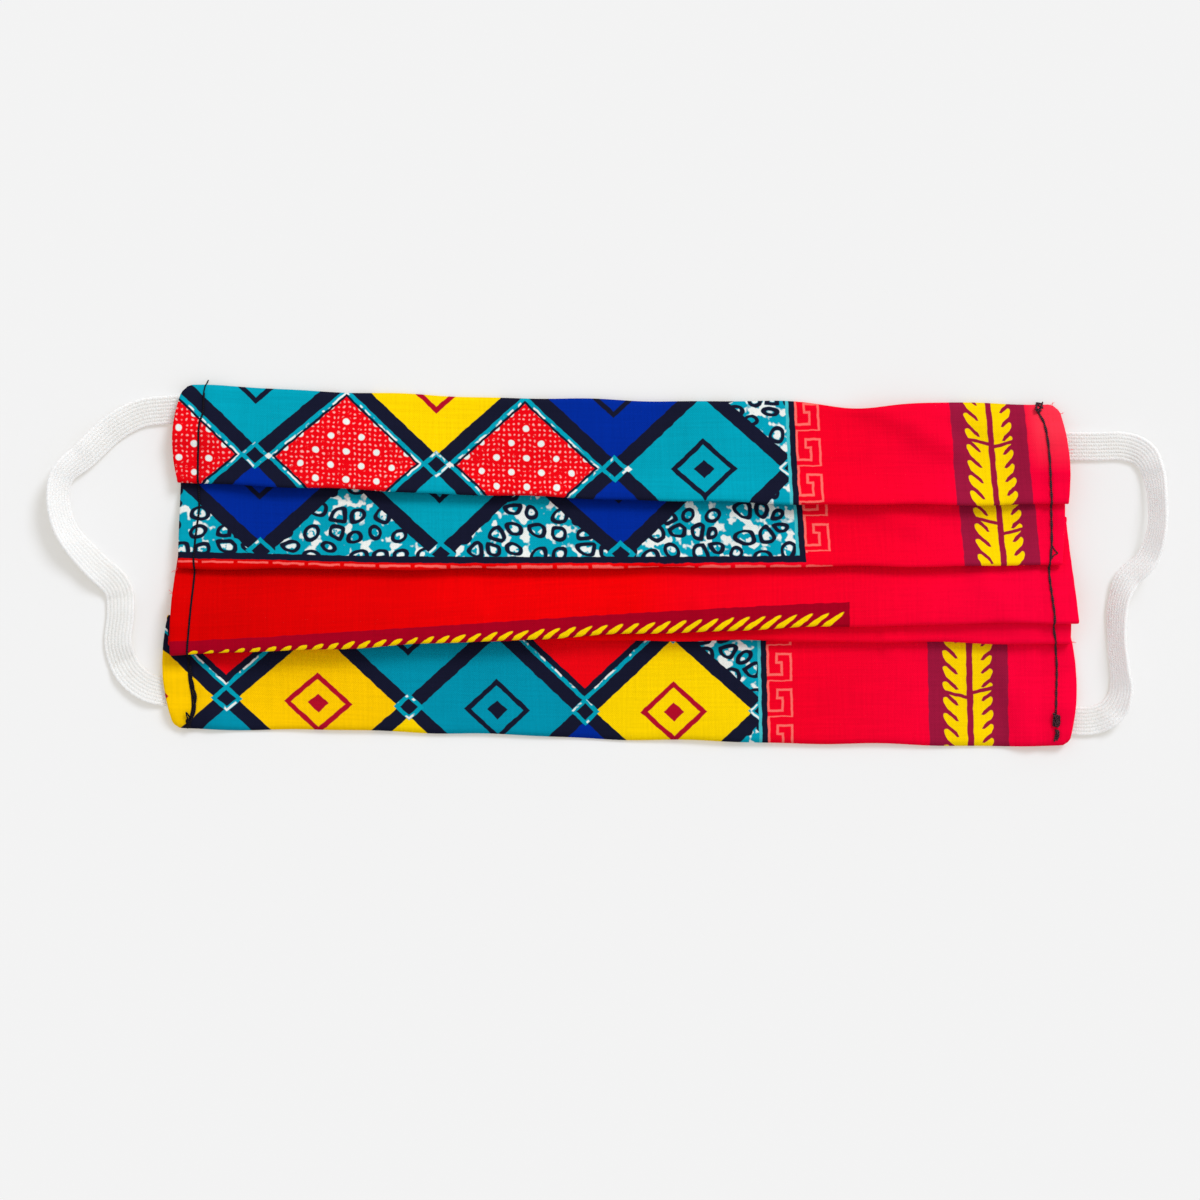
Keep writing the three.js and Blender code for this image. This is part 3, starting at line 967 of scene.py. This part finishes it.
def parts(tree, socket):
    """The three numbers of a vector or a colour."""
    return [Field(tree, output) for output in add_node(tree, "SeparateXYZ", {0: socket}).outputs]


def surface_place(tree, uv_name):
    """The two coordinates of a UV map, in millimetres."""
    u, v, _ = parts(tree, add_node(tree, "UVMap", {}, uv_map=uv_name).outputs[0])
    return u * 1000, v * 1000


def new_material(name, roughness):
    material = bpy.data.materials.new(name)
    material.use_nodes = True
    shader = material.node_tree.nodes["Principled BSDF"]
    set_inputs(shader, {"Roughness": roughness, "Specular IOR Level": 0.03})
    return material, shader


def add_colour(shader, colour, tone_and_painted_shade):
    """A base colour times a field of tone and painted shade. A constant colour is given without its alpha."""
    node = add_node(tone_and_painted_shade.tree, "VectorMath", {0: colour, "Scale": tone_and_painted_shade.socket}, operation="SCALE")
    set_inputs(shader, {"Base Color": node.outputs[0]})


def add_bump(shader, height, strength, distance):
    """Small relief from a field. The distance is in metres."""
    inputs = {"Strength": strength, "Distance": distance, "Height": height.socket}
    node = add_node(height.tree, "Bump", inputs)
    set_inputs(shader, {"Normal": node.outputs[0]})


# The print, in millimetres on the flat cloth: u runs across and v down
def cell_fill(m, n):
    """Each lattice cell's colour and its kind, from the table of cells."""
    row = m - n
    later = row.above(3.5, 0.5) * 2
    column = calc("FLOOR", (m + n + 1) * 0.5 + 0.5)
    place = ((row + 1 - later) * CELLS_ACROSS + column + 0.5) * (1 / (CELLS_ACROSS * len(CELL_ROWS)))
    node = add_node(m.tree, "ValToRGB", {0: place.socket})
    ramp = node.color_ramp
    ramp.interpolation = "CONSTANT"
    ramp.elements.remove(ramp.elements[1])
    fills = [fill for cells in CELL_ROWS for fill in cells]
    for index, (colour, kind) in enumerate(fills):
        if index > 0:
            ramp.elements.new(index / len(fills))
        ramp.elements[index].color = (*colour[:3], kind)
    return node.outputs[0], Field(m.tree, node.outputs[1])


def dotted(u, v):
    """Big dots on a centred grid, with small uneven dots between them."""
    plain = length_of(from_line(u, BIG_DOT_ACROSS), from_line(v, BIG_DOT_DOWN))
    shifted_u = u + BIG_DOT_ACROSS / 2
    shifted_v = v + BIG_DOT_DOWN / 2
    shifted = length_of(from_line(shifted_u, BIG_DOT_ACROSS), from_line(shifted_v, BIG_DOT_DOWN))
    from_big = calc("MINIMUM", plain, shifted)
    loose_u = u + noise(u, v, 0.45)
    loose_v = v + noise(u + 30, v, 0.45)
    from_small = length_of(from_line(loose_u, SMALL_DOT_PITCH), from_line(loose_v, SMALL_DOT_PITCH))
    kept = noise(u, v + 20, 1.1).above(0.4, 0.1)
    small = from_small.below(SMALL_DOT, 0.2) * from_big.above(1.25, 0.3) * kept
    return from_big.below(BIG_DOT, 0.2), small


def voronoi(tree, place, feature):
    inputs = {"Scale": 1, "Randomness": 0.6, "Vector": place}
    return add_node(tree, "TexVoronoi", inputs, voronoi_dimensions="2D", feature=feature)


def pebbled(u, v):
    """Outlined oval pebbles on a washed teal ground."""
    tree = u.tree
    x = u * PEBBLE_ACROSS
    y = v * PEBBLE_DOWN
    place = combine(x, y)
    cell = voronoi(tree, place, "F1")
    from_edge = Field(tree, voronoi(tree, place, "DISTANCE_TO_EDGE").outputs["Distance"])
    size, turn, _ = parts(tree, cell.outputs["Color"])
    middle_x, middle_y, _ = parts(tree, cell.outputs["Position"])
    turn = turn * pi
    along = (x - middle_x) * calc("COSINE", turn) + (y - middle_y) * calc("SINE", turn)
    aside = (y - middle_y) * calc("COSINE", turn) - (x - middle_x) * calc("SINE", turn)
    outside = length_of(along, aside * 1.4) - size * 0.22 - 0.4
    outside = calc("SMOOTH_MAX", outside, 0.04 - from_edge, 0.3)
    pale = noise(u + 40, v, 0.34) + u * 0.0005 - v.above(LAST_BAND_TOP, 1) * 0.05
    ground = paint(TEAL, WHITE, pale.above(0.6, 0.06))
    glint = outside.below(-0.22, 0.05) * noise(u, v + 60, 0.5).above(0.5, 0.05)
    filled = paint(ground, TEAL, outside.below(0, 0.04))
    return paint(paint(filled, WHITE, glint), NAVY, outside.within(-0.2, 0, 0.04))


def cell_colours(u, v, fill, kind, open_corner):
    """The cells' own colours, with pebbles in some and dots in others."""
    big, small = dotted(u - DOTS_LEFT, v + DOTS_RAISED)
    is_pebbled = either(kind.within(0.2, 0.45, 0.02), open_corner)
    speckled = kind.above(0.8, 0.02)
    colour = paint(fill, pebbled(u, v), is_pebbled)
    colour = paint(colour, WHITE, big * speckled)
    return paint(colour, PALE_PINK, small * speckled)


def outlines(base, v, near, kind, broken):
    """The dark, teal and broken white lines around the dotted and the outlined cells."""
    outlined = kind.above(0.5, 0.02)
    dark_edge = v.above(LAST_BAND_TOP, 1) * 0.8 + 3.05
    dark = calc("MULTIPLY_ADD", near - dark_edge, -7, 0.5, clamp=True)
    colour = paint(base, NAVY, dark * outlined)
    colour = paint(colour, TEAL, near.below(OUTLINE) * outlined)
    return paint(colour, WHITE, near.within(2.15, 2.55) * broken.above(0.52, 0.04) * outlined)


def lattice(u, v):
    """The diamond lattice with its filled cells, its bars and the small squares where they cross."""
    across = u * (1 / LATTICE_ACROSS)
    down = v * (1 / LATTICE_DOWN)
    first = across + down
    second = across - down
    fill, kind = cell_fill(calc("FLOOR", first), calc("FLOOR", second))
    from_first = calc("PINGPONG", first, 0.5) * LATTICE_LEG
    from_second = calc("PINGPONG", second, 0.5) * LATTICE_LEG
    near = calc("MINIMUM", from_first, from_second)
    far = calc("MAXIMUM", from_first, from_second)
    open_corner = u.above(2.5 * LATTICE_ACROSS) * v.within(SECOND_BAND_TOP, SECOND_BAND_END)
    drawn = 1 - open_corner
    broken = noise(u, v, 0.3)

    colour = cell_colours(u, v, fill, kind, open_corner)
    is_warm = parts(u.tree, fill)[0].above(0.5, 0.1)
    motif = either(near.within(*MOTIF_RING), near.above(MOTIF_MIDDLE)) * kind.below(0.1, 0.02)
    colour = paint(colour, paint(NAVY, MOTIF_RED, is_warm), motif)
    colour = outlines(colour, v, near, kind, broken)

    colour = paint(colour, NAVY, near.below(BAR_HALF) * drawn)
    colour = paint(colour, TEAL, far.below(2.3) * drawn)
    colour = paint(colour, WHITE, far.within(1.75, 2.2) * broken.above(0.6, 0.04) * drawn)
    right_corner = calc("FRACT", first).below(0.5, 0.02) * calc("FRACT", second).below(0.5, 0.02)
    star = near.above(1.45) * far.below(2.6) * right_corner * v.below(SECOND_BAND_TOP, 1)
    colour = paint(colour, WHITE, star * drawn)
    return paint(colour, NAVY, far.below(KNOT_HALF) * drawn)


def key_line(u, v):
    """The key border: one angular spiral after another, down a column."""
    shifted = v - v.within(SECOND_BAND_TOP, SECOND_BAND_END) * KEY_SHIFT
    x = (u - KEY_LEFT) * (1 / KEY_WIDTH)
    y = calc("FRACT", (shifted - KEY_START) * (1 / KEY_PITCH))
    strokes = []
    half_x = KEY_LINE / KEY_WIDTH / 2
    half_y = KEY_LINE / KEY_PITCH / 2
    for (x1, y1), (x2, y2) in zip(KEY_PATH, KEY_PATH[1:]):
        in_x = x.within(min(x1, x2) - half_x, max(x1, x2) + half_x, 0.03)
        in_y = y.within(min(y1, y2) - half_y, max(y1, y2) + half_y, 0.02)
        strokes.append(in_x * in_y)
    return either(*strokes)


def leaf_side(out, v, reach, pitch, slope, start, breaks):
    """One side of the leafy stem: lobes that point up and outward, with slots between them."""
    slanted = v + out * slope
    slot = from_line(slanted - start, pitch)
    aside = pitch / 2 - slot
    lobes = out.above(LEAF_STEM / 2) * (out + aside * aside * 0.55).below(reach)
    gaps = (slot - calc("MINIMUM", out - LEAF_SOLID, 0.45)).below(0.1)
    cut_line = v + out * 0.25
    cuts = either(*[cut_line.within(place - 0.4, place + 0.4) for place in breaks])
    return lobes * (1 - gaps) * (1 - cuts)


def leaf_stripe(base, u, v):
    """The maroon stripe with its yellow leafy stem."""
    zone = either(v.below(SECOND_BAND_END), v.above(LAST_BAND_TOP))
    # Painted sheen: the red turns paler towards the right seam, in the upper part of the top band.
    colour = paint(base, PAINTED_SHEEN_RED, u.above(174, 4) * v.below(-3, 9) * 0.6)
    colour = paint(colour, MAROON, u.within(MAROON_LEFT, MAROON_RIGHT, 0.2) * zone)
    left = leaf_side(LEAF_MIDDLE - u, v, *LEFT_LOBES)
    right = leaf_side(u - LEAF_MIDDLE, v, *RIGHT_LOBES)
    return paint(colour, YELLOW, either(left, right) * zone)


def fold_stripe(base, u, v):
    """The maroon stripe that the third fold cuts, with a row of yellow slanted strokes along the fold."""
    up = FOLD_PLACE - v
    zone = up.within(-0.6, 10) * u.below(FOLD_STRIPE_RIGHT, 0.2)
    stripe = (up - u * FOLD_STRIPE_RISE).below(3.2) * zone
    slanted = u - up * STROKE_SLANT
    aside = (calc("FRACT", slanted * (1 / STROKE_PITCH)) - 0.5) * (STROKE_PITCH / 0.95)
    height = u * 0.016 + 0.95
    upward = calc("DIVIDE", up - height * 0.4, height * 0.62)
    drawn = slanted.within(-4 * STROKE_PITCH, 38 * STROKE_PITCH)
    strokes = (aside * aside + upward * upward).below(1, 0.25) * drawn
    colour = paint(base, FOLD_RED, stripe)
    return paint(colour, YELLOW, strokes * zone)


def borders(base, u, v):
    """The navy frame of the lattice and the key borders beside it and below it."""
    last_band = v.above(LAST_BAND_TOP)
    beside = u.within(FRAME_LEFT - 0.7, FRAME_LEFT + 0.1) * either(v.below(FRAME_TOP + 0.05), last_band)
    colour = paint(base, PALE_TEAL, beside)
    right = u.within(FRAME_LEFT, FRAME_RIGHT) * either(v.below(FRAME_END), last_band)
    bottom = v.within(FRAME_TOP, FRAME_END) * u.below(FRAME_RIGHT)
    colour = paint(colour, NAVY, either(right, bottom))
    key = key_line(u, v) * either(v.below(KEY_END), last_band)
    dashes = from_line(u - DASH_START, DASH_PITCH).above(0.5) * v.within(*DASH_ROW) * u.below(DASH_END)
    return paint(colour, KEY_PINK, either(key, dashes * 0.85))


def weave(u, v):
    """The height of the plain weave, and the slight unevenness of its threads."""
    turn = 2 * pi / THREAD_PITCH
    height = calc("SINE", u * turn) * calc("SINE", v * turn)
    streaks = noise(u * 0.08, v * 1.9, 1) + noise(u * 1.9, v * 0.08, 1)
    return height, streaks - 1


def cotton_material():
    material, shader = new_material("cotton_print", 0.85)
    u, v = surface_place(material.node_tree, "print")
    height, streaks = weave(u, v)
    drawn_u = u + (noise(u, v, 0.45) - 0.5) * 0.4
    drawn_v = v + (noise(u + 90, v, 0.45) - 0.5) * 0.4

    # The plain red is darker towards the left and pinker towards the right.
    red = paint(RED_LEFT, RED_MIDDLE, calc("MULTIPLY_ADD", u, 0.0135, 0.05, clamp=True))
    red = paint(red, RED_RIGHT, calc("MULTIPLY_ADD", u, 0.0115, -1.0, clamp=True))
    cells = lattice(drawn_u, drawn_v)
    zone = u.below(LATTICE_RIGHT) * either(v.below(LATTICE_END), v.above(LAST_BAND_TOP))
    colour = paint(red, cells, zone)
    colour = borders(colour, drawn_u, drawn_v)
    colour = leaf_stripe(colour, drawn_u, drawn_v)
    colour = fold_stripe(colour, drawn_u, drawn_v)

    # Painted shade: the colour is lighter on the crests of the weave and darker between its threads. The
    # streaks and the clouds are the cloth's own uneven tone.
    cloudy = noise(u, v, 0.05, 4.0) - 0.5
    tone_and_painted_shade = calc("MULTIPLY_ADD", height, 0.035, 0.97) + streaks * 0.16 + cloudy * 0.14
    add_colour(shader, colour, tone_and_painted_shade)
    add_bump(shader, height + streaks * 1.5, 0.35, 0.00012)
    return material


def elastic_material():
    material, shader = new_material("elastic", 0.75)
    across, along = surface_place(material.node_tree, "ribs")
    from_edge = across * (RIB_COUNT / STRAP_WIDTH)
    groove = calc("PINGPONG", from_edge, 0.5)
    knit = calc("SINE", along * (2 * pi / KNIT_PITCH) + calc("FLOOR", from_edge) * pi)
    loops = calc("SINE", along * (2 * pi / LOOP_PITCH) + groove * 7)
    fuzz = noise(across * 2, along * 5, 1) - 0.5
    # Painted shade: the white is darker in the grooves between the ribs, and a little lighter and darker
    # along the knit loops' relief. The fuzz is the elastic's own uneven tone.
    light = calc("MULTIPLY_ADD", groove.above(0.13, 0.2), 0.06, 0.94, clamp=True)
    add_colour(shader, ELASTIC_WHITE[:3], light + fuzz * 0.05 + loops * 0.015)
    add_bump(shader, loops + knit * 0.5 + fuzz, 0.4, 0.0001)
    set_inputs(shader, {
        "Sheen Weight": 0.3,
        "Subsurface Weight": 0.7,
        "Subsurface Radius": (1, 0.9, 0.85),
        "Subsurface Scale": 0.003,
    })
    return material


def fray_material():
    material, shader = new_material("frayed_cotton", 0.85)
    across, along = surface_place(material.node_tree, "twist")
    patches = noise(across * 400, along, 2.5)
    colour = paint(RED_RIGHT, PALE_PINK, patches.above(0.5, 0.5) * 0.6)
    set_inputs(shader, {"Base Color": colour})
    return material


def thread_material(name, dark, light):
    material, shader = new_material(name, 0.6)
    across, along = surface_place(material.node_tree, "twist")
    ply = calc("SINE", (along * 2.2 + across) * (2 * pi))
    # Painted highlight: the thread takes the lighter colour on the crests of its ply twist, which the bump
    # raises.
    colour = paint(dark, light, ply.above(0.2, 1.2) * 0.6)
    set_inputs(shader, {"Base Color": colour})
    add_bump(shader, ply, 0.5, 0.00008)
    return material


# Stage
def make_stage():
    bpy.ops.mesh.primitive_plane_add(size=6)
    floor = bpy.context.object
    floor.name = "table_top"
    material, shader = new_material("table_white", 0.9)
    set_inputs(shader, {
        "Base Color": (0.62, 0.66, 0.73, 1),
        "Specular IOR Level": 0,
        "Emission Color": (0.26, 0.219, 0.147, 1),
        "Emission Strength": 1,
    })
    floor.data.materials.append(material)

    world = bpy.data.worlds.new("soft_sky")
    bpy.context.scene.world = world
    world.use_nodes = True
    set_inputs(world.node_tree.nodes["Background"], {"Color": (1, 1, 1, 1), "Strength": 0.7})

    sun_data = bpy.data.lights.new("window_light", "SUN")
    sun_data.energy = 1.6
    sun_data.angle = radians(22)
    sun = add_object("window_light", sun_data)
    sun.rotation_euler = Vector((0.7, 0.95, 1)).to_track_quat("Z", "Y").to_euler()


def make_camera():
    camera_data = bpy.data.cameras.new("camera")
    camera_data.sensor_width = 36
    camera_data.lens = 135
    camera = add_object("camera", camera_data)
    camera.location = (-0.00167, -0.00778, 1.003)
    bpy.context.scene.camera = camera
    bpy.context.scene.view_settings.view_transform = "Standard"


def main():
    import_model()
    panel = make_panel()
    panel.data.materials.append(cotton_material())
    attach(panel, "root")
    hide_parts("pleated_panel")
    elastic = elastic_material()
    for name in LOOPS:
        strap = make_strap(name)
        strap.data.materials.append(elastic)
        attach(strap, "root")
        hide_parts(name)
    corners = [vertex.co for vertex in panel.data.vertices]
    cloth = BVHTree.FromPolygons(corners, [face.vertices for face in panel.data.polygons])
    make_threads(cloth)
    make_frays(cloth, fray_material())
    make_stage()
    make_camera()


main()
